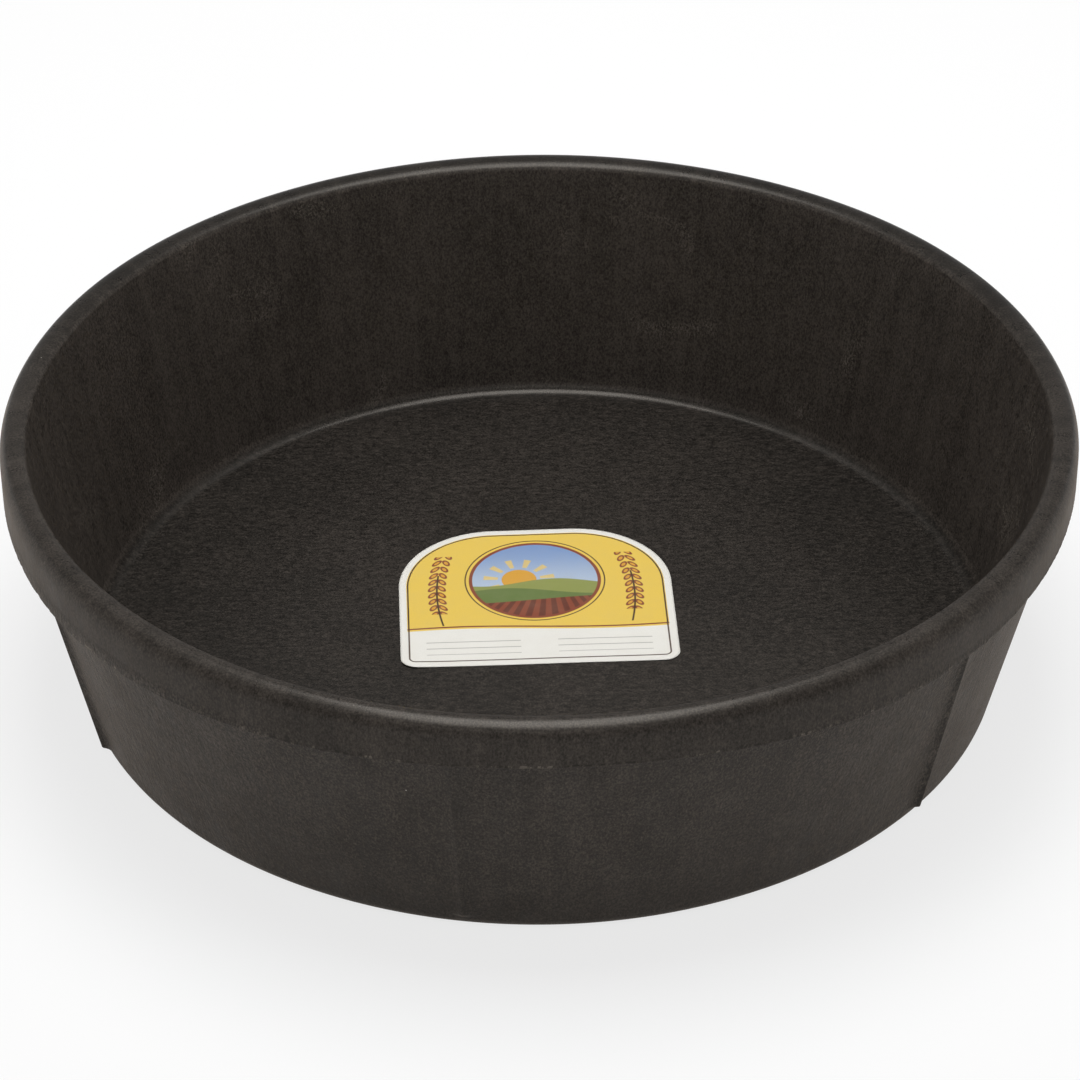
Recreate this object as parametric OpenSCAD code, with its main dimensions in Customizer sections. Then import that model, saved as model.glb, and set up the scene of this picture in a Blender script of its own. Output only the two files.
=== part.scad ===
// Shallow round feed tub of moulded rubber, with a paper label stuck to its floor.
// All lengths are in millimetres and all angles in degrees.
// The tub stands on its foot ring at z = 0, centred on the Z axis, and its front faces -Y.

/* [Tub] */
// Diameter over the rim band
rim_d = 420; // [390:1:480]
// Height from the ground to the top of the rim
tub_h = 112; // [80:1:150]
// Diameter where the outside of the wall meets the ground
base_d = 364; // [310:1:400]
// Thickness of the wall where it leaves the floor
wall_t = 4.6; // [4:0.1:8]
// Thickness of the floor
floor_t = 9; // [5:0.1:11]
// Radius in the corner between the floor and the wall
floor_fillet_r = 4; // [1:0.5:12]
// Radius on the edge where the wall meets the ground
base_edge_r = 6; // [2:0.5:8]

/* [Rim] */
// Width of the rim from its inner to its outer face
rim_w = 9.5; // [8:0.1:14]
// Height of the band round the rim
band_h = 18.5; // [10:0.5:30]
// How far the band stands out from the wall at its lower edge
band_proud = 5.4; // [3:0.1:8]
// Radius on the outer top edge of the rim
rim_outer_r = 4.8; // [1:0.1:5]
// Radius on the inner top edge of the rim
rim_inner_r = 2; // [1:0.1:3]
// Radius on the lower edge of the band
band_edge_r = 1.4; // [0.5:0.1:2.5]

/* [Ribs] */
// Number of ribs round the outside of the wall
rib_count = 6; // [3:1:12]
// Angle of the first rib from the front, towards +X
rib_first_angle = -8; // [-30:0.5:30]
// Width of the crest of a rib, before its edges are rounded
rib_crest_w = 2.4; // [2:0.1:8]
// Radius on the two edges of the crest
rib_edge_r = 0.8; // [0.4:0.1:1.2]
// Slope of each flank of a rib away from its centre plane
rib_draft = 30; // [5:1:40]
// How far the crest stays behind the face of the band
rib_setback = 3; // [1:0.1:4]
// Height of the foot of a rib over the ground
rib_foot_h = 5; // [5:0.5:30]
// Angle between the bevelled foot of a rib and the wall
rib_foot_angle = 60; // [40:1:85]

/* [Underside] */
// Width of the foot ring, measured in from the edge of the base
foot_ring_w = 26; // [14:1:60]
// Depth of the relief inside the foot ring
relief_depth = 1.5; // [0.5:0.1:3]
// Width of the sloping edge of the relief
relief_slope_w = 3; // [1:0.5:8]

/* [Label] */
// Width of the label
label_w = 112; // [84:1:150]
// Height of the label, from its lower to its upper edge
label_h = 96; // [60:1:130]
// Thickness of the paper with its adhesive
label_t = 0.2; // [0.1:0.05:0.5]
// Radius of the two upper corners
label_top_r = 40; // [5:1:55]
// Radius of the two lower corners
label_bottom_r = 6; // [2:1:25]
// Place of the label's centre from the middle of the floor, along X
label_x = -1.8; // [-30:0.1:30]
// Place of the label's centre from the middle of the floor, along Y
label_y = 20.5; // [-30:0.5:30]
// Turn of the label on the floor
label_turn = 2.3; // [-180:0.1:180]

/* [Hidden] */
$fn = 128;
// Depth to which a rib is rooted in the wall
rib_root_t = 2;
rim_r = rim_d / 2;
base_r = base_d / 2;
band_z = tub_h - band_h;
wall_top_r = rim_r - band_proud;
wall_lean = atan((wall_top_r - base_r) / band_z);
floor_r = base_r + floor_t * tan(wall_lean) - wall_t / cos(wall_lean);
foot_ring_r = base_r - foot_ring_w;
rib_proud = (band_proud - rib_setback) * cos(wall_lean);

// A direction of length one
function unit(v) = v / norm(v);
// Half the angle inside the corner b between its neighbours a and c
function half_angle(a, b, c) = acos(unit(a - b) * unit(c - b)) / 2;
// Distance from the corner to where an arc of radius r leaves each side
function tangent_length(a, b, c, r) = r / tan(half_angle(a, b, c));
// Centre of the arc of radius r in the corner
function arc_centre(a, b, c, r) = b + unit(unit(a - b) + unit(c - b)) * r / sin(half_angle(a, b, c));

// What lies between a sharp corner and its arc
module corner_piece(a, b, c, r) {
    t = tangent_length(a, b, c, r);
    difference() {
        polygon([b, b + t * unit(a - b), b + t * unit(c - b)]);
        translate(arc_centre(a, b, c, r)) circle(r);
    }
}

// Outline whose corners are rounded off where the radius is positive and filled where it is negative
module rounded_outline(points, radii) {
    n = len(points);
    difference() {
        union() {
            polygon(points);
            for (i = [0 : n - 1])
                if (radii[i] < 0)
                    corner_piece(points[(i + n - 1) % n], points[i], points[(i + 1) % n], -radii[i]);
        }
        for (i = [0 : n - 1])
            if (radii[i] > 0)
                corner_piece(points[(i + n - 1) % n], points[i], points[(i + 1) % n], radii[i]);
    }
}

// Section of the tub from its axis outwards, as x = radius and y = height
module tub_section() {
    rounded_outline(
        [
            [0, relief_depth],
            [foot_ring_r - relief_slope_w, relief_depth],
            [foot_ring_r, 0],
            [base_r, 0],
            [wall_top_r, band_z],
            [rim_r, band_z],
            [rim_r, tub_h],
            [rim_r - rim_w, tub_h],
            [floor_r, floor_t],
            [0, floor_t]
        ],
        [0, 0, 0, base_edge_r, 0, band_edge_r, rim_outer_r, rim_inner_r, -floor_fillet_r, 0]
    );
}

// Section across a rib: x along the wall and y out of it, with the edges of the crest rounded
module rib_section() {
    crest_x = rib_crest_w / 2;
    root_x = crest_x + (rib_proud + rib_root_t) * tan(rib_draft);
    rounded_outline(
        [[-root_x, -rib_root_t], [root_x, -rib_root_t], [crest_x, rib_proud], [-crest_x, rib_proud]],
        [0, 0, rib_edge_r, rib_edge_r]
    );
}

// Side of a rib: x out of the wall and y up along its slope, with the foot bevelled
module rib_side(foot, top) {
    bevel = rib_proud / tan(rib_foot_angle);
    sink = rib_root_t / tan(rib_foot_angle);
    polygon([
        [-rib_root_t, foot - sink],
        [rib_proud, foot + bevel],
        [rib_proud, top],
        [-rib_root_t, top]
    ]);
}

// One rib on the +X side, leaning with the wall and rooted in the wall and the band
module rib() {
    foot = rib_foot_h / cos(wall_lean);
    top = band_z / cos(wall_lean) + rib_proud * tan(wall_lean) + rib_setback / 2;
    reach = 2 * (rib_crest_w + rib_proud + rib_root_t);
    translate([base_r, 0, 0])
        rotate([0, wall_lean, 0])
        rotate([0, 0, -90])
        intersection() {
            linear_extrude(top) rib_section();
            rotate([90, 0, 90])
                linear_extrude(reach, center = true)
                rib_side(foot, top);
        }
}

module tub() {
    color([0.17, 0.16, 0.145]) {
        rotate_extrude() tub_section();
        for (i = [0 : rib_count - 1])
            rotate([0, 0, rib_first_angle - 90 + i * 360 / rib_count]) rib();
    }
}

module label() {
    color([0.93, 0.91, 0.84])
        translate([label_x, label_y, floor_t])
        rotate([0, 0, label_turn])
        linear_extrude(label_t)
        rounded_outline(
            [
                [-label_w / 2, -label_h / 2],
                [label_w / 2, -label_h / 2],
                [label_w / 2, label_h / 2],
                [-label_w / 2, label_h / 2]
            ],
            [label_bottom_r, label_bottom_r, label_top_r, label_top_r]
        );
}

tub();
label();
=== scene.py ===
import math

import bpy
import numpy as np
from mathutils import Matrix, Vector


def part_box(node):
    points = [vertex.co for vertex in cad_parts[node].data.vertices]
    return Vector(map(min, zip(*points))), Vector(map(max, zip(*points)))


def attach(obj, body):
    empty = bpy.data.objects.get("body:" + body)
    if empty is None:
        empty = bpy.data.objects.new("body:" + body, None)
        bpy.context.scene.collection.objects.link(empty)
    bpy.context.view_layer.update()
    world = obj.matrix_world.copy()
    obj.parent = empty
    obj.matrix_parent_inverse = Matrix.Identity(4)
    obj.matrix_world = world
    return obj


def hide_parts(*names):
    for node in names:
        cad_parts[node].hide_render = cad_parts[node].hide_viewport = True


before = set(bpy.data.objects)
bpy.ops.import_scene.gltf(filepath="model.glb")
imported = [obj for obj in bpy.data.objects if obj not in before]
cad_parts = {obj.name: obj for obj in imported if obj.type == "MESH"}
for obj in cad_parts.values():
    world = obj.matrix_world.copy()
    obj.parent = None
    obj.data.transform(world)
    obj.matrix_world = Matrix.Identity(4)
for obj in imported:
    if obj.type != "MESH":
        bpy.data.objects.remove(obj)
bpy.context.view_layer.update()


# The tub: one shell of black rubber, compression moulded from ground tyre crumb and fibre.
# Floor, flared wall, thick rim band with a hand-trimmed lower edge, six low ribs and a flat foot ring
# are all one piece. It stands loose on the ground, and only the label is fixed to it.

# Lengths are in millimetres, and angles in degrees from the front towards the right.
MM = 0.001
tub_low, tub_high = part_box("tub")
rim_r = (tub_high[0] - tub_low[0]) / 2 / MM
tub_h = tub_high[2] / MM
base_r = 182.0
wall_t = 4.6
floor_t = 9.0
rim_w = 9.5
band_h = 18.5
band_proud = 5.4
floor_fillet_r = 6.5
base_edge_r = 6.0
rim_inner_r = 3.0
band_edge_r = 0.2
band_root_r = 0.8
foot_ring_r = 156.0
relief_depth = 1.5
relief_slope_w = 3.0
rib_angles = [-65.7, -9.2, 50.4, 112.0, 172.0, 232.0]
rib_shares = [1.0, 0.4, 0.95, 1.0, 0.75, 0.9]
rib_crest = 0.55
rib_spread = 2.0
rib_proud_low = 2.9
rib_proud_top = 1.7
rib_foot_z = 5.0
rib_foot_rise = 2.4

band_z = tub_h - band_h
wall_top_r = rim_r - band_proud
lean_out = math.atan((wall_top_r - base_r) / band_z)
floor_r = base_r + floor_t * math.tan(lean_out) - wall_t / math.cos(lean_out)
lean_in = math.atan((rim_r - rim_w - floor_r) / (tub_h - floor_t))


def turned(angle, centre):
    """An angle as seen from a centre, from -180 to 180."""
    return (angle - centre + 180) % 360 - 180


# Columns of the mesh run evenly round the tub, and closer together over each rib.
column_step = 1 / 3
rib_side_steps = [0.0, 0.2, 0.4, 0.6, 0.8, 1.0, 1.25, 1.5, 1.8, 2.1, 2.5, 3.0, 3.6, 4.3, 5.2, 6.2]
rib_clearance = 0.6
rib_mean_r = 193.0
rib_reach = math.degrees((rib_side_steps[-1] + rib_clearance) / rib_mean_r)
even = np.arange(0, 360, column_step) - 180
clear = np.ones(len(even), bool)
for centre in rib_angles:
    clear &= np.abs(turned(even, centre)) > rib_reach
rib_columns = [
    centre + side * math.degrees(step / rib_mean_r)
    for centre in rib_angles
    for step in rib_side_steps
    for side in ((1, -1) if step else (1,))
]
all_columns = np.concatenate([even[clear], turned(np.array(rib_columns), 0)])
column_deg = np.unique(np.round(all_columns, 6))
column = np.radians(column_deg)
columns = len(column)
ONES = np.ones(columns)

# 1 at the front of the tub, 0 at its sides and -1 at the back
frontness = np.cos(column)


def bump_at(centre, half_width):
    """A smooth bump round the tub: 1 at the centre, and next to nothing two half widths away."""
    return np.exp(-((turned(column_deg, centre) / half_width) ** 2))


def ripple(crest_counts, size, seed):
    """A wave round the tub with whole numbers of crests, so that it closes on itself."""
    draw = np.random.default_rng(seed)
    total = 0 * ONES
    for crests in crest_counts:
        total += np.sin(crests * column + draw.uniform(0, 2 * math.pi)) * draw.uniform(0.5, 1)
    return size * total / math.sqrt(len(crest_counts))


# The lower edge of the band was cut by hand: slow swings, given as place, half width and height,
# with the waver of the knife and a ragged lip over them.
trim_swings = [(2, 20, 1.9), (-58, 34, -4.6), (36, 16, -2.6), (140, 30, -1.6), (190, 20, 0.6)]
trim = sum(height * bump_at(centre, half_width) for centre, half_width, height in trim_swings)
trim = trim + ripple(range(9, 26), 0.16, 3) + ripple(range(40, 150, 3), 0.12, 4)
ragged = ripple(range(70, 420, 9), 0.17, 5)

# A shell that has sat stacked with others is never quite true: the rim dips between front and back
# and draws in, least at the four points that hold the width, and the base bulges at the sides.
dip_mean, dip_swing = 0.16, 0.14
draw_in_mean, draw_in_swing, draw_in_least = 0.22, 0.18, 0.06
rim_dip = dip_mean + dip_swing * np.clip(ripple(range(2, 9), 0.8, 6), -1, 1)
rim_draw_in = draw_in_mean + draw_in_swing * np.clip(ripple(range(2, 7), 0.8, 7), -1, 1)
for centre in (-90, 0, 90, 180):
    rim_draw_in = rim_draw_in * (1 - bump_at(centre, 12))
rim_draw_in = rim_draw_in + draw_in_least
rim_dip = rim_dip * (1 - bump_at(0, 25)) * (1 - bump_at(180, 50))
base_bulge = 1.5 * bump_at(-74, 30) + 0.5 * bump_at(70, 25) + ripple(range(3, 9), 0.15, 8)


def rib_height(height):
    """How far the ribs stand out of the wall at this height, column by column."""
    foot = np.clip((height - rib_foot_z) / rib_foot_rise, 0, 1)
    proud = rib_proud_low + (rib_proud_top - rib_proud_low) * height / band_z
    section = 0 * ONES
    for centre, share in zip(rib_angles, rib_shares):
        across = np.radians(turned(column_deg, centre)) * rib_mean_r
        section += share * np.exp((rib_crest - np.hypot(across, rib_crest)) / rib_spread)
    return proud * section * foot * foot * (3 - 2 * foot)


rings = []


def ring(radius, height, worn=0.0, inside=0.0):
    """Adds a ring of points; worn is 1 where hands polish it, and -1 in the seam under the band, where shade
    is painted.
    """
    rings.append((radius * ONES, height * ONES, worn * ONES, inside * ONES))


# Underside and foot ring, from the centre outwards
underside_radii = (18, 45, 80, 115, 140, 151)
foot_ring_radii = (158, 165, 172)
for radius in underside_radii:
    ring(radius, relief_depth)
for slope_share, depth_share in ((1.0, 1.0), (0.75, 0.88), (0.25, 0.12), (0.0, 0.0)):
    ring(foot_ring_r - relief_slope_w * slope_share, relief_depth * depth_share)
for radius in foot_ring_radii:
    ring(radius, 0)
base_steps = 8
base_tangent = base_edge_r / math.tan((math.pi / 2 + lean_out) / 2)
base_axis = base_r + base_bulge - base_tangent
for i in range(base_steps + 1):
    tilt = math.radians(-90 + (90 - math.degrees(lean_out)) * i / base_steps)
    ring(base_axis + base_edge_r * math.cos(tilt), base_edge_r + base_edge_r * math.sin(tilt))

# Outer wall with its ribs; the rows lie closer together over the feet of the ribs
foot_rows = [4.9, 5.3, 5.7, 6.1, 6.6, 7.1, 7.6, 8.2, 9.2, 10.6, 12.5]
upper_rows = list(np.linspace(15.5, 86, 22)) + [91.0]
wall_foot_z = base_tangent * math.cos(lean_out)
wall_end_z = band_z + trim - band_root_r
wall_span = band_z - band_root_r - wall_foot_z
for row in foot_rows + upper_rows:
    rise = wall_foot_z + (row - wall_foot_z) * (wall_end_z - wall_foot_z) / wall_span
    out = rib_height(rise)
    wall_face = base_r + rise * math.tan(lean_out) + base_bulge * (1 - rise / band_z)
    ring(wall_face + out * math.cos(lean_out), rise - out * math.sin(lean_out))

# Seam under the band, darkened with painted shade, then the band's underside and its trimmed lower edge
seam_shade_mark = -1
edge_wear = 0.5
edge_steps = 6
root_share, edge_share = 0.3, 0.45
ledge_r = base_r + wall_end_z * math.tan(lean_out) + rib_height(wall_end_z) * math.cos(lean_out)
band_r = rim_r - rim_draw_in
room = band_r - ledge_r
root_r = np.minimum(band_root_r, root_share * room)
edge_r = np.minimum(band_edge_r, edge_share * room)
ring(ledge_r, wall_end_z, seam_shade_mark)
ring(ledge_r + root_r * 0.3, wall_end_z + band_root_r * 0.7, seam_shade_mark)
ring(ledge_r + root_r, wall_end_z + band_root_r, seam_shade_mark)
ring((ledge_r + root_r + band_r - edge_r) / 2, band_z + trim)
for i in range(edge_steps + 1):
    tilt = math.radians(-90 + 90 * i / edge_steps)
    ring(
        band_r - edge_r + edge_r * math.cos(tilt) - np.abs(ragged) * math.cos(tilt),
        band_z + trim + edge_r + edge_r * math.sin(tilt) + ragged * (1 - i / edge_steps),
        edge_wear * math.sin(math.pi * i / edge_steps),
    )

# The crown of the rim is an outer round, a gently domed top and a tighter inner round. The outer round
# gives way to the dome at the break, and the dome to the inner round at the fall.
crown_z = tub_h - rim_dip
rim_outer_r = 3.2 + 0.8 * frontness + 4.0 * (bump_at(-58, 35) + bump_at(58, 35))
rim_break = np.radians(25 + 7 * frontness)
rim_fall = np.radians(17 - 9 * frontness)
rim_swell = 0.3 + 1.0 * bump_at(180, 75)
dome_room = rim_w + rim_swell - rim_outer_r * (1 - np.sin(rim_break))
dome_room -= rim_inner_r * (math.cos(lean_in) - np.sin(rim_fall))
dome_room += math.tan(lean_in) * rim_inner_r * (np.cos(rim_fall) - math.sin(lean_in))
dome_spread = np.sin(rim_break) + np.sin(rim_fall) - math.tan(lean_in) * (1 - np.cos(rim_fall))
dome_r = dome_room / dome_spread
dome_axis = band_r - rim_outer_r * (1 - np.sin(rim_break)) - dome_r * np.sin(rim_break)

# Face of the band, from its worn and ragged lower edge up to the outer round
face_low = band_z + trim + edge_r
face_top = crown_z - rim_outer_r * np.cos(rim_break) - dome_r * (1 - np.cos(rim_break))
for share, worn in ((0.05, edge_wear), (0.11, 0), (0.28, 0), (0.46, 0), (0.64, 0), (0.82, 0)):
    ragged_share = max(0, 0.6 - 2 * share)
    ring(band_r - np.abs(ragged) * ragged_share, face_low + share * (face_top - face_low), worn)
outer_steps = 14
for i in range(outer_steps + 1):
    tilt = math.pi / 2 + (rim_break - math.pi / 2) * i / outer_steps
    ring(
        band_r - rim_outer_r * (1 - np.sin(tilt)),
        face_top + rim_outer_r * np.cos(tilt),
        i / outer_steps,
    )

# The material of the outer face ends five rings short of the dome, where the polished crown begins.
polished_rings = 5
outer_rings = len(rings) - polished_rings
dome_steps = 10
for i in range(1, dome_steps + 1):
    tilt = rim_break - (rim_break + rim_fall) * i / dome_steps
    ring(dome_axis + dome_r * np.sin(tilt), crown_z - dome_r * (1 - np.cos(tilt)), 1)

# Inner round, and the inner wall down to the fillet
inner_steps = 10
inner_rows = 24
inner_turn = math.pi / 2 - lean_in
inner_axis = dome_axis - (dome_r - rim_inner_r) * np.sin(rim_fall)
inner_low = crown_z - dome_r * (1 - np.cos(rim_fall)) - rim_inner_r * np.cos(rim_fall)
for i in range(1, inner_steps + 1):
    tilt = rim_fall + (inner_turn - rim_fall) * i / inner_steps
    ring(
        inner_axis - rim_inner_r * np.sin(tilt),
        inner_low + rim_inner_r * np.cos(tilt),
        1 - i / inner_steps,
        i / inner_steps,
    )
top_r, top_z = rings[-1][0], rings[-1][1]
fillet_axis = floor_r - floor_fillet_r / math.tan((math.pi / 2 + lean_in) / 2)
foot_r = fillet_axis + floor_fillet_r * math.cos(lean_in)
foot_z = floor_t + floor_fillet_r - floor_fillet_r * math.sin(lean_in)
for share in np.linspace(0, 1, inner_rows)[1:-1]:
    ring(top_r + (foot_r - top_r) * share, top_z + (foot_z - top_z) * share, 0, 1)

# Fillet, polished at the back of the tub only, and the floor
fillet_steps = 12
floor_radii = (172, 166, 156, 140, 118, 92, 62, 34, 12)
back_share = np.clip((-frontness - 0.70) / 0.14, 0, 1)
for i in range(fillet_steps + 1):
    tilt = -lean_in + (lean_in - math.pi / 2) * i / fillet_steps
    ring(
        fillet_axis + floor_fillet_r * math.cos(tilt),
        floor_t + floor_fillet_r + floor_fillet_r * math.sin(tilt),
        math.sin(math.pi * i / fillet_steps) * back_share,
        1,
    )
for radius in floor_radii:
    ring(radius, floor_t, 0, 1)

# Rings and columns become one closed mesh with a point at each end of the axis.
ring_r, ring_z, ring_wear_and_seam_shade, ring_inside = (np.array(values) for values in zip(*rings))
points = np.stack([ring_r * np.sin(column), -ring_r * np.cos(column), ring_z], axis=2).reshape(-1, 3)
points = np.vstack([points, [[0, 0, relief_depth], [0, 0, floor_t]]]) * MM
here = np.arange(columns)
after = (here + 1) % columns
quads = []
for low in np.arange(len(rings) - 1) * columns:
    high = low + columns
    quads += np.stack([low + here, low + after, high + after, high + here], axis=1).tolist()
bottom, top = len(points) - 2, len(points) - 1
last = (len(rings) - 1) * columns
fans = [(bottom, int(b), int(a)) for a, b in zip(here, after)]
fans += [(top, int(last + a), int(last + b)) for a, b in zip(here, after)]
shell = bpy.data.meshes.new("tub_moulding")
shell.from_pydata(points.tolist(), [], quads + fans)
for name, values in (("wear_and_seam_shade", ring_wear_and_seam_shade), ("inner_face", ring_inside)):
    layer = shell.attributes.new(name, "FLOAT", "POINT")
    layer.data.foreach_set("value", np.append(values.reshape(-1), [0, values[-1, 0]]))
shell.shade_smooth()
shell.validate()
tub_moulding = bpy.data.objects.new("tub_moulding", shell)
bpy.context.collection.objects.link(tub_moulding)


class Wire:
    """A shader value: operators on it add Math nodes, and node() adds a node of any other kind."""

    def __init__(self, tree, socket=None):
        self.tree = tree
        self.socket = socket

    def node(self, kind, settings=None, sockets=None, out=0):
        made = self.tree.nodes.new("ShaderNode" + kind)
        for name, value in (settings or {}).items():
            setattr(made, name, value)
        for name, value in (sockets or {}).items():
            if isinstance(value, Wire):
                self.tree.links.new(value.socket, made.inputs[name])
            else:
                made.inputs[name].default_value = value
        return Wire(self.tree, made.outputs[out])

    def also(self, out):
        """Another output of the same node."""
        return Wire(self.tree, self.socket.node.outputs[out])

    def maths(self, operation, *values):
        return self.node("Math", {"operation": operation}, dict(enumerate(values)))

    def __add__(self, other):
        return self.maths("ADD", self, other)

    def __sub__(self, other):
        return self.maths("SUBTRACT", self, other)

    def __rsub__(self, other):
        return self.maths("SUBTRACT", other, self)

    def __mul__(self, other):
        return self.maths("MULTIPLY", self, other)

    def __truediv__(self, other):
        return self.maths("DIVIDE", self, other)

    def __rtruediv__(self, other):
        return self.maths("DIVIDE", other, self)

    def __pow__(self, other):
        return self.maths("POWER", self, other)

    def __abs__(self):
        return self.maths("ABSOLUTE", self)

    __radd__ = __add__
    __rmul__ = __mul__

    def root(self):
        return self.maths("SQRT", self)

    def sine(self):
        return self.maths("SINE", self)

    def past_whole(self):
        """What is left over the last whole number, which makes a row of equal cells."""
        return self - self.maths("FLOOR", self)

    def least(self, other):
        return self.maths("MINIMUM", self, other)

    def most(self, other):
        return self.maths("MAXIMUM", self, other)

    def step(self, low, high):
        """0 up to low and 1 from high on, with a soft change between; low may be the larger."""
        ends = {"Value": self, "From Min": low, "From Max": high}
        return self.node("MapRange", {"interpolation_type": "SMOOTHSTEP"}, ends)

    def mix(self, first, second):
        """first where this value is 0 and second where it is 1, as colours."""
        return self.node("Mix", {"data_type": "RGBA"}, {0: self, 6: first, 7: second}, out=2)

    def stretched(self, x, y, z):
        return self.node("VectorMath", {"operation": "MULTIPLY"}, {0: self, 1: (x, y, z)})

    def noise(self, per_metre, detail=2.0, roughness=0.5, warp=0.0):
        sizes = {"Scale": per_metre, "Detail": detail, "Roughness": roughness, "Distortion": warp}
        return self.node("TexNoise", {}, {"Vector": self, **sizes})


def colour(red, green, blue):
    """A colour as it is read off a screen, from 0 to 255, in the shader's own scale."""
    linear = []
    for part in (red / 255, green / 255, blue / 255):
        linear.append(part / 12.92 if part <= 0.04045 else ((part + 0.055) / 1.055) ** 2.4)
    return (*linear, 1)


def painted(name, **constants):
    """A new material, the start of its node maths, and its surface shader with these constants set."""
    material = bpy.data.materials.new(name)
    material.use_nodes = True
    surface = material.node_tree.nodes["Principled BSDF"]
    for socket, value in constants.items():
        surface.inputs[socket.replace("_", " ")].default_value = value
    return material, Wire(material.node_tree), surface


soot = colour(15, 13, 11)
ash = colour(84, 77, 71)
scraped = colour(128, 120, 110)
pale_dust = colour(196, 190, 180)
middle = 0.5


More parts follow.
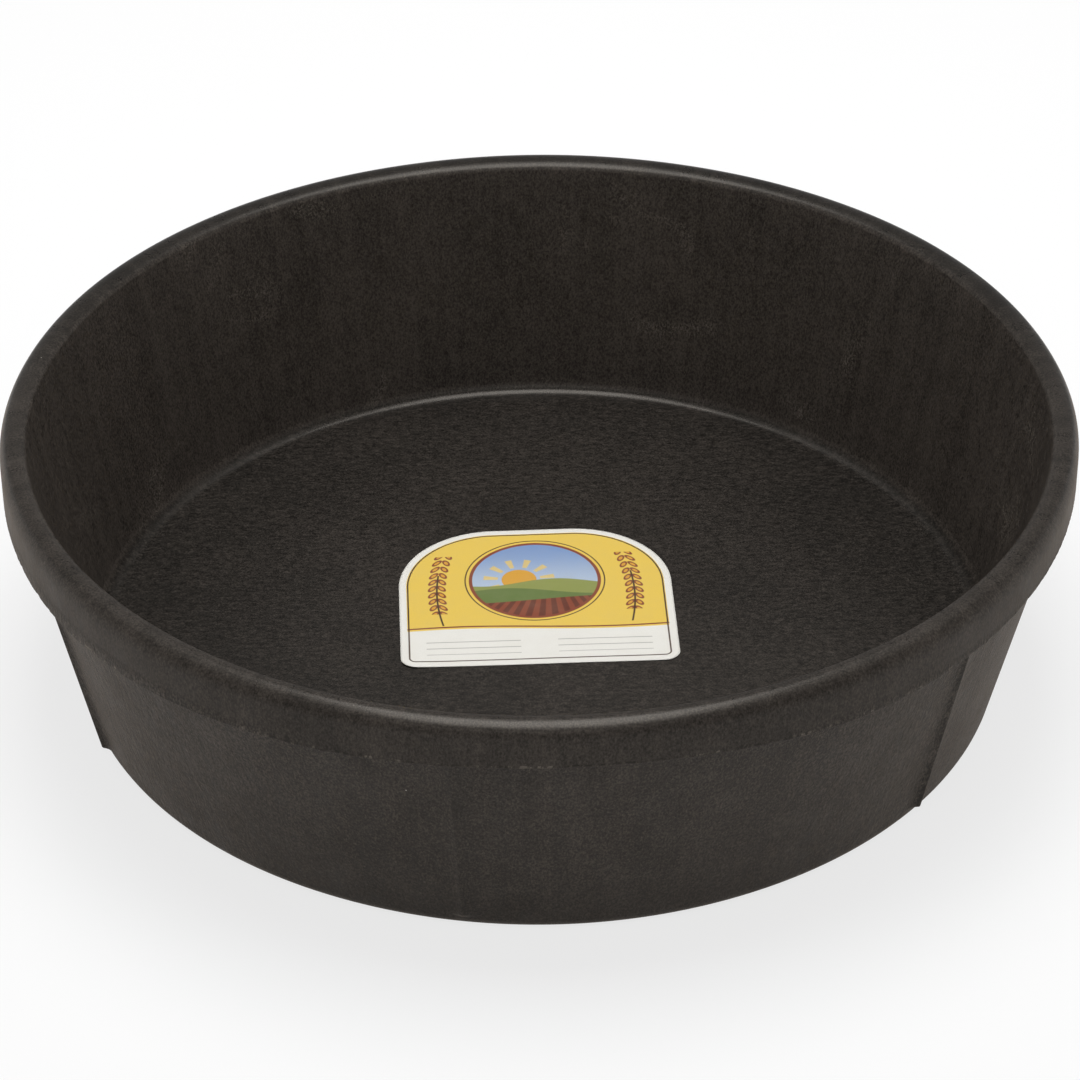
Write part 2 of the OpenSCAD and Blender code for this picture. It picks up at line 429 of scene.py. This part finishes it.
def moulded_rubber(name, shine, dust):
    """The rubber as moulded; its outer face is duller, with a bloom of dust that shows at a slant."""
    rubber, pen, surface = painted(
        name, IOR=1.5, Specular_IOR_Level=shine, Specular_Tint=(1.0, 0.93, 0.84, 1),
        Sheen_Weight=dust, Sheen_Roughness=0.4, Sheen_Tint=(1.0, 0.70, 0.45, 1),
    )
    place = pen.node("TexCoord", out="Object")
    split = pen.node("SeparateXYZ", sockets={"Vector": place})
    x, y, z = split.also("X"), split.also("Y"), split.also("Z")
    radius = (x * x + y * y).root().most(1e-4)

    # Zones of the moulding: inner or outer face, then by height in metres over the ground
    fillet_low, fillet_high = (floor_t + 1.2) * MM, (floor_t + 4.2) * MM
    foot_low, foot_high = 0.002, 0.006
    band_low, band_high = (band_z - 5.5) * MM, (band_z + 0.5) * MM
    wall_stop_low, wall_stop_high = (band_z - 1.5) * MM, (band_z + 2.5) * MM
    trim_zone_low, trim_zone_high = (band_z - 13.5) * MM, (band_z - 7.5) * MM
    trim_stop_low, trim_stop_high = (band_z + 3.5) * MM, (band_z + 6.5) * MM
    crown_low, crown_high = (tub_h - 14.0) * MM, (tub_h - 8.0) * MM
    dull_low, dull_high = 0.005, 0.085
    inside = pen.node("Attribute", {"attribute_name": "inner_face"}, out="Fac")
    edge = pen.node("Attribute", {"attribute_name": "wear_and_seam_shade"}, out="Fac")
    outside = 1 - inside
    worn = edge.most(0)
    # -1 on the edge marks the seam under the band, where the tone is darkened with painted shade.
    seam_shade = (0 - edge).most(0)
    floor_part = inside * z.step(fillet_high, fillet_low)
    wall_part = inside * z.step(fillet_low, fillet_high)
    standing = (1 - floor_part) * z.step(foot_low, foot_high)
    band_part = outside * z.step(band_low, band_high)
    outer_wall = outside * z.step(wall_stop_high, wall_stop_low)
    low_wall = outside * z.step(dull_high, dull_low)
    smooth = worn * (1 - outside * z.step(crown_high, crown_low))
    # The trim of the band: pale rubbed marks, and dark dashes of painted shadow.
    trim_wear_and_shade = worn * outside * z.step(trim_stop_high, trim_stop_low) * z.step(trim_zone_low, trim_zone_high)

    # Flow lines show at the sides of the outer wall. The floor's sides and the back of the crown get painted
    # shade, which makes them darker.
    flow_part = outer_wall * standing * abs(x).step(0.05, 0.16)
    floor_side_shade = floor_part * abs(x).step(0.06, 0.16)
    crown_back_shade = smooth * outside * y.step(0.0, 0.10)

    # Crumb and fibre in the rubber: the fibres lie flat on the floor and run round the inner wall.
    wall_r = 0.19
    along_wall = {"X": x / radius * wall_r, "Y": y / radius * wall_r, "Z": z}
    round_wall = pen.node("CombineXYZ", {}, along_wall)
    upright = place.stretched(1.0, 1.0, 0.62)
    fibre_floor = place.stretched(0.5, 1.0, 1.0).noise(480, 2.0, 0.55, 1.2)
    fibre_wall = round_wall.stretched(1.0, 1.0, 0.8).noise(420, 2.0, 0.55, 1.2)
    fibre = fibre_wall + (fibre_floor - fibre_wall) * floor_part
    fibre_line = (1 - abs(fibre - middle) * 11.0).most(0) * inside * (1 - smooth)
    crumb = upright.noise(1300, 2.0, 0.7)
    fleck_floor = place.stretched(0.42, 1.0, 1.0).noise(560, 3.0, 0.65)
    fleck_wall = upright.noise(430, 3.0, 0.65)
    fleck = fleck_wall + (fleck_floor - fleck_wall) * floor_part
    cloud = place.noise(60, 3.0, 0.55)
    drift = place.noise(13, 2.0, 0.5)
    streak = round_wall.stretched(1, 1, 0.05).noise(170, 3.0, 0.6)
    flow = round_wall.stretched(1, 1, 0.24).noise(760, 3.0, 0.65, 0.5)

    # Shade from soot to ash: an even tone for each zone, and each grain in its own strength over it. The
    # inner wall's tone is painted lighter and the floor's darker, standing in for how the light falls on
    # them.
    tone = 0.20 + wall_part * 0.20 + band_part * 0.06 - floor_part * 0.12 - floor_side_shade * 0.10
    tone = tone - crown_back_shade * 0.22 - seam_shade * 0.30
    crumb_part = 1.45 + outer_wall * 0.5 + flow_part * 0.7 + wall_part * 0.45 - floor_part * 0.18
    fleck_part = 1.1 - wall_part * 0.55 - outside * 0.5 - smooth * 0.3 - floor_part * 0.18
    fleck_part = fleck_part + flow_part * 0.3
    shade = tone + (crumb - middle) * crumb_part + (fleck - middle) * fleck_part
    shade = shade + (cloud - middle) * 0.30 + (drift - middle) * 0.25 + fibre_line * 0.13
    shade = shade + (streak - middle) * standing * 0.45 + (flow - middle) * flow_part * 1.2
    skin = shade.step(-0.25, 1.10).mix(soot, ash)

    # Bloom and handling marks: pale specks, crackled scuffs on the inner wall and a rubbed trim; the dark
    # dashes along the trim are painted shadow of its small undercuts
    speck_grid = {"Vector": place, "Scale": 42.0, "Randomness": 1.0}
    speck_cell = pen.node("TexVoronoi", {"feature": "F1"}, speck_grid)
    speck_pick = pen.node("SeparateXYZ", {}, {"Vector": speck_cell.also("Color")})
    speck_size = 0.006 + 0.020 * speck_pick.also("Y") ** 3
    speck = speck_cell.step(speck_size, speck_size * 0.45) * speck_pick.also("X").step(0.60, 0.66)
    scuff_patch = place.noise(24, 3.0, 0.6, 0.6).step(0.59, 0.72) * wall_part
    scuff_mark = (1 - abs(place.noise(420, 2.0, 0.6, 1.5) - middle) * 14).most(0)
    scuff = scuff_patch * scuff_mark * crumb.step(0.42, 0.60)
    rubbed = trim_wear_and_shade * fleck.step(0.51, 0.60) * cloud.step(0.50, 0.58)
    # Dark dashes along the trim's lower edge: painted shadow in its small undercuts.
    undercut_shade = trim_wear_and_shade * fleck.step(0.49, 0.42) * cloud.step(0.54, 0.46)
    skin = (undercut_shade * 2.0).least(1).mix(skin, soot)
    skin = (rubbed * 1.1).least(1).mix(skin, scraped)
    skin = (scuff * 0.65).least(1).mix(skin, scraped)
    skin = (speck * 0.75).mix(skin, pale_dust)

    # Roughness: duller on the outer face and on scuffs, shinier where hands polish the crown
    gloss_grain = (fleck - middle) * 0.30 + (crumb - middle) * 0.26
    gloss = 0.46 + gloss_grain * (1 - smooth * 0.88 - floor_part * 0.17) - (cloud - middle) * 0.12
    gloss = gloss + (streak - middle) * standing * 0.14 + scuff * 0.1 + low_wall * 0.03
    gloss = gloss + outside * (1 - smooth) * 0.14 - smooth * 0.16 - floor_part * 0.06

    grain = 1 - smooth * 0.8 + outer_wall * 1.6 + flow_part * 0.5 - floor_part * 0.12
    relief = (crumb * 0.36 + fleck * 0.66) * grain + flow * flow_part * 1.9
    relief = relief + fibre_line * 0.06 + cloud * 0.7 + speck * 0.4
    dent = pen.node("Bump", {}, {"Strength": 0.4, "Distance": 0.0004, "Height": relief}, out="Normal")
    links = rubber.node_tree.links
    links.new(skin.socket, surface.inputs["Base Color"])
    links.new(gloss.socket, surface.inputs["Roughness"])
    links.new(dent.socket, surface.inputs["Normal"])
    return rubber


shell.materials.append(moulded_rubber("rubber_inner_face", 0.30, 0.0))
shell.materials.append(moulded_rubber("rubber_outer_face", 0.24, 0.12))
outer_faces = np.repeat(np.arange(len(rings) - 1) < outer_rings, columns)
face_materials = np.concatenate([outer_faces, np.ones(columns), np.zeros(columns)])
shell.polygons.foreach_set("material_index", face_materials.astype(int))
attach(tub_moulding, "root")
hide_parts("tub")


# The label: a die-cut sheet of satin printed paper, stuck to the floor of the tub by its own adhesive.
# It follows the floor in slow waves, and its two lower corners have begun to lift.
label_x, label_y, label_turn = -1.8, 20.5, math.radians(2.3)
label_w, label_h = 112.0, 96.0
label_top_r, label_bottom_r = 40.0, 6.0
paper_t = 0.16
glue_t = 0.03
label_low = floor_t + glue_t
label_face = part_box("label")[1][2] / MM
edge_spacing = 2.5
wave_base = 0.05
lifted_corners = [(-55, -47, 17, 0.55), (55, -47, 11, 0.25)]


def label_outline():
    """Points round the label's edge, from the lower right corner, anticlockwise."""
    corners = [
        (label_w / 2 - label_bottom_r, label_bottom_r - label_h / 2, label_bottom_r, -90, 10),
        (label_w / 2 - label_top_r, label_h / 2 - label_top_r, label_top_r, 0, 28),
        (label_top_r - label_w / 2, label_h / 2 - label_top_r, label_top_r, 90, 28),
        (label_bottom_r - label_w / 2, label_bottom_r - label_h / 2, label_bottom_r, 180, 10),
    ]
    turns = []
    for centre_u, centre_v, r, start, steps in corners:
        angles = np.radians(start + np.linspace(0, 90, steps + 1))
        turns.append(np.stack([centre_u + r * np.cos(angles), centre_v + r * np.sin(angles)], axis=1))
    outline = []
    for this, following in zip(turns, turns[1:] + turns[:1]):
        gap = np.linalg.norm(following[0] - this[-1])
        share = np.linspace(0, 1, max(2, int(gap / edge_spacing)))[1:-1, None]
        outline.append(this)
        outline.append(this[-1] + (following[0] - this[-1]) * share)
    return np.vstack(outline)


def label_lift(at_u, at_v):
    """How far the paper stands off the floor: slow waves, and the lifted corners."""
    wave = 0.035 * np.sin(at_u / 9 + 0.6 * np.sin(at_v / 13)) + 0.03 * np.sin(at_v / 7 + at_u / 21)
    total = wave_base + wave
    for corner_u, corner_v, reach, height in lifted_corners:
        near = np.clip(1 - np.hypot(at_u - corner_u, at_v - corner_v) / reach, 0, 1)
        total = total + height * near ** 2
    return total


# Upper and lower face are rings of the outline, drawn in to the middle, and a strip joins their edges.
label_edge = label_outline()
edge_count = len(label_edge)
edge_shares = [1.0, 0.985, 0.95, 0.9, 0.84, 0.77, 0.69, 0.6, 0.5, 0.4, 0.3, 0.2, 0.1]
face_u = np.concatenate([label_edge[:, 0] * share for share in edge_shares] + [[0.0]])
face_v = np.concatenate([label_edge[:, 1] * share for share in edge_shares] + [[0.0]])
lift = label_lift(face_u, face_v)
upper = np.stack([face_u, face_v, label_face + lift], axis=1)
lower = np.stack([face_u, face_v, np.maximum(label_low, label_face + lift - paper_t)], axis=1)
label_points = np.vstack([upper, lower])
turn_cos, turn_sin = math.cos(label_turn), math.sin(label_turn)
turn = np.array([[turn_cos, -turn_sin], [turn_sin, turn_cos]])
label_points[:, :2] = label_points[:, :2] @ turn.T + [label_x, label_y]
around = np.arange(edge_count)
ahead = (around + 1) % edge_count
half = len(upper)
faces = []
for i in range(len(edge_shares) - 1):
    a, b = i * edge_count, (i + 1) * edge_count
    upper_faces = np.stack([a + around, a + ahead, b + ahead, b + around], axis=1)
    lower_faces = np.stack([a + ahead, a + around, b + around, b + ahead], axis=1) + half
    faces += upper_faces.tolist() + lower_faces.tolist()
inner = (len(edge_shares) - 1) * edge_count
faces += [(inner + int(p), inner + int(q), half - 1) for p, q in zip(around, ahead)]
faces += [(half + inner + int(q), half + inner + int(p), 2 * half - 1) for p, q in zip(around, ahead)]
faces += np.stack([around + half, ahead + half, ahead, around], axis=1).tolist()
sheet = bpy.data.meshes.new("floor_label")
sheet.from_pydata((label_points * MM).tolist(), [], faces)
sheet.shade_smooth()
sheet.validate()
floor_label = bpy.data.objects.new("floor_label", sheet)
bpy.context.collection.objects.link(floor_label)

# The print, in millimetres from the label's centre: u to the right and v up
paper, pen, paper_surface = painted("printed_paper", IOR=1.45, Specular_IOR_Level=0.35)
place = pen.node("TexCoord", out="Object")
split = pen.node("SeparateXYZ", sockets={"Vector": place})
from_x = split.also("X") * 1000 - label_x
from_y = split.also("Y") * 1000 - label_y
u = from_x * turn_cos + from_y * turn_sin
v = from_y * turn_cos - from_x * turn_sin
ink_bleed = 0.16

white = colour(243, 241, 234)
yellow = colour(240, 205, 92)
amber = colour(224, 166, 62)
sky = colour(126, 156, 204)
haze = colour(186, 202, 222)
grass = colour(104, 124, 66)
meadow = colour(146, 154, 84)
soil = colour(140, 70, 48)
furrow = colour(104, 50, 36)
bark = colour(70, 44, 30)
rule = colour(128, 124, 118)
old_paper = colour(196, 184, 160)
print_dirt = colour(120, 112, 100)


def within(distance):
    """1 where a distance, in millimetres, is below nothing."""
    return distance.step(ink_bleed, -ink_bleed)


def line_on(distance, half_width):
    """A printed line where a distance is nothing."""
    return within(abs(distance) - half_width)


def disc(centre_u, centre_v, r):
    """Distance out of a round shape."""
    du, dv = u - centre_u, v - centre_v
    return (du * du + dv * dv).root() - r


def hill(level, height, length, shift=0.0):
    """Distance over the crest line of rolling land."""
    return v - level - (u / length + shift).sine() * height


# Yellow field over a white panel, inside a thin frame that follows the edge of the paper
margin = 3.0
frame_in = 3.6
panel_v = -23.5
corner_r = v.step(-0.5, 0.5) * (label_top_r - label_bottom_r) + label_bottom_r
past_u = abs(u) - label_w / 2 + corner_r
past_v = abs(v) - label_h / 2 + corner_r
beyond = (past_u.most(0) * past_u.most(0) + past_v.most(0) * past_v.most(0)).root()
to_edge = corner_r - beyond - past_u.most(past_v).least(0)
panel_edge = v - panel_v + (u / 18).sine() * 1.1
printed = within(margin - to_edge)
field = printed * within(0 - panel_edge)
ink = field.mix(white, yellow)
ink = (field * line_on(panel_edge - 1.5, 0.45)).mix(ink, soil)
ink = (printed * line_on(to_edge - frame_in, 0.32)).mix(ink, bark)

# Round picture: a low sun over meadows and ploughed land
picture_v, picture_r = 11.0, 26.5
sun_u, sun_v, sun_r = -6.5, 11.5, 7.2
ray_count, ray_gap, ray_start, ray_end = 11, 0.45, 1.6, 7.5
horizon_v, sky_depth = 4, 34
furrow_u, furrow_v, furrow_count = 6, 26, 46
ring_in = disc(0, picture_v, picture_r)
picture = field * within(ring_in)
land = ((v - horizon_v) / sky_depth).step(0, 1).mix(haze, sky)
sun = disc(sun_u, sun_v, sun_r)
ray_angle = pen.maths("ARCTAN2", v - sun_v, u - sun_u)
rays = within(ray_gap - (ray_angle * ray_count).sine()) * within(ray_start - sun) * within(sun - ray_end)
land = (rays * 0.75).mix(land, yellow)
land = within(sun).mix(land, amber)
land = within(hill(9.5, 2.2, 9, 0.7)).mix(land, meadow)
land = within(hill(3.0, 2.6, 12, 2.6)).mix(land, grass)
furrows = ((u - furrow_u) / abs(v - furrow_v) * furrow_count).sine()
land = within(hill(-3.0, 2.0, 22)).mix(land, furrows.step(-0.25, 0.25).mix(soil, furrow))
ink = picture.mix(ink, land)
ink = (field * line_on(ring_in, 0.7)).mix(ink, soil)
ink = (field * line_on(ring_in - 2.2, 0.28)).mix(ink, bark)

# An ear of wheat on each side, bent round the picture; the right one mirrors the left
ear_u, ear_bend_v, ear_bend = 40.5, 2, 0.0045
grain_pitch, first_grain_v = 4.6, -14
grain_out, grain_long, grain_wide = 1.9, 2.6, 1.25
off_stalk = abs(abs(u) - ear_u + (v - ear_bend_v) * (v - ear_bend_v) * ear_bend)
cell_v = (((v - first_grain_v) / grain_pitch).past_whole() - 0.5) * grain_pitch
along_grain = (cell_v * 0.80 - (off_stalk - grain_out) * 0.60) / grain_long
across_grain = (cell_v * 0.60 + (off_stalk - grain_out) * 0.80) / grain_wide
kernel = ((along_grain * along_grain + across_grain * across_grain).root() - 1) * 1.6
ear = field * line_on(v - 9, 20.7)
stalk = within(off_stalk - 0.38) * line_on(v + 2, 18)
ink = (ear * within(kernel)).mix(ink, soil)
ink = (ear * within(kernel + 0.75)).mix(ink, amber)
ink = (field * stalk).mix(ink, bark)

# Blank ruled panel below, in two blocks of lines
line_pitch, first_line_v = 4.2, -42
block_u, block_half_w = 26.5, 19
off_line = (((v - first_line_v) / line_pitch).past_whole() - 0.5) * line_pitch
ruled = line_on(off_line, 0.17) * line_on(abs(u) - block_u, block_half_w) * line_on(v + 34.4, 5.6)
ink = (printed * (1 - field) * ruled * 0.8).mix(ink, rule)

# Age and the grain of the paper
ink_grain = place.noise(2600, 2.0, 0.6)
tint = place.noise(120, 3.0, 0.55)
aged = (0.5 + (tint - middle) * 0.8).step(0.2, 0.9)
ink = (aged * 0.10).mix(ink, old_paper)
ink = (ink_grain.step(0.35, 0.75) * 0.08).mix(ink, print_dirt)
paper_gloss = 0.42 + (tint - middle) * 0.14 + (ink_grain - middle) * 0.1
under = place.noise(270, 3.0, 0.6) * 0.6 + ink_grain * 0.1
paper_relief = {"Strength": 0.25, "Distance": 0.00025, "Height": under}
paper_dent = pen.node("Bump", {}, paper_relief, out="Normal")
paper_links = paper.node_tree.links
paper_links.new(ink.socket, paper_surface.inputs["Base Color"])
paper_links.new(paper_gloss.socket, paper_surface.inputs["Roughness"])
paper_links.new(paper_dent.socket, paper_surface.inputs["Normal"])
sheet.materials.append(paper)
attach(floor_label, "root")
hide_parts("label")


# The studio: a white floor that keeps the tub's soft shadow, in an even white surround.
# One large soft box hangs overhead, with weaker ones above left, above right and in front, and a low
# panel stands on each side. The camera stands where the photograph was taken.
floor_half = 40.0
floor_drop = 0.0004
floor_glow = 0.74
floor_corners = [(-floor_half, -floor_half, 0), (floor_half, -floor_half, 0)]
floor_corners += [(floor_half, floor_half, 0), (-floor_half, floor_half, 0)]
ground = bpy.data.meshes.new("studio_floor")
ground.from_pydata(floor_corners, [], [(0, 1, 2, 3)])
studio_floor = bpy.data.objects.new("studio_floor", ground)
studio_floor.location.z = -floor_drop
bpy.context.collection.objects.link(studio_floor)
floor_paint, floor_pen, floor_surface = painted(
    "white_sweep", Base_Color=(0.98, 0.98, 0.98, 1), Roughness=0.9, Specular_IOR_Level=0.0
)
ray = floor_pen.node("LightPath", out="Is Camera Ray")
seen = ray.most(ray.also("Is Glossy Ray")).most(ray.also("Is Transmission Ray"))
glow = floor_pen.node("Emission", {}, {"Color": (1, 1, 1, 1), "Strength": 1.0})
plain_floor = Wire(floor_pen.tree, floor_surface.outputs[0])
floor_mix = floor_pen.node("MixShader", {}, {0: seen * floor_glow, 1: plain_floor, 2: glow})
floor_output = floor_pen.tree.nodes["Material Output"]
floor_pen.tree.links.new(floor_mix.socket, floor_output.inputs["Surface"])
ground.materials.append(floor_paint)

world = bpy.data.worlds.new("white_surround")
bpy.context.scene.world = world
world.use_nodes = True
background = world.node_tree.nodes["Background"]
background.inputs["Color"].default_value = (1, 1, 1, 1)
background.inputs["Strength"].default_value = 0.30


def soft_box(name, stand, aim, width, height, radiance):
    """A flat lamp that faces aim, as bright all over as a surface of that radiance."""
    lamp = bpy.data.lights.new(name, "AREA")
    lamp.shape = "RECTANGLE"
    lamp.size = width
    lamp.size_y = height
    lamp.energy = radiance * math.pi * width * height
    holder = bpy.data.objects.new(name, lamp)
    holder.location = stand
    holder.rotation_euler = (Vector(aim) - Vector(stand)).to_track_quat("-Z", "Y").to_euler()
    holder.visible_camera = False
    bpy.context.collection.objects.link(holder)


soft_box("box_overhead", (0, 0.25, 1.55), (0, 0.25, 0.0), 0.8, 1.1, 6.2)
soft_box("box_left", (-1.0, 0.45, 1.5), (-1.0, 0.45, 0.0), 0.8, 1.1, 0.5)
soft_box("box_right", (1.0, 0.45, 1.5), (1.0, 0.45, 0.0), 0.8, 1.1, 0.5)
soft_box("box_front", (0, -1.9, 1.9), (0, 0, 0.05), 2.0, 1.2, 0.7)
soft_box("wall_left", (-1.8, 0.5, 0.3), (0, 0.5, 0.3), 2.6, 0.6, 0.5)
soft_box("wall_right", (1.8, 0.5, 0.3), (0, 0.5, 0.3), 2.6, 0.6, 0.5)

eye = Vector((0, -1.3244, 0.9412))
forward = Vector((0, 0.82971, -0.55819)).normalized()
right = Vector((1, 0, 0))
up = right.cross(forward)
roll = -0.0082
camera_x = math.cos(roll) * right + math.sin(roll) * up
camera_y = math.cos(roll) * up - math.sin(roll) * right
view = bpy.data.cameras.new("photo_view")
view.sensor_width = 36.0
view.lens = 133.33
camera = bpy.data.objects.new("photo_view", view)
camera.matrix_world = Matrix((camera_x, camera_y, -forward)).transposed().to_4x4()
camera.location = eye
bpy.context.collection.objects.link(camera)
bpy.context.scene.camera = camera
bpy.context.scene.view_settings.view_transform = "Standard"
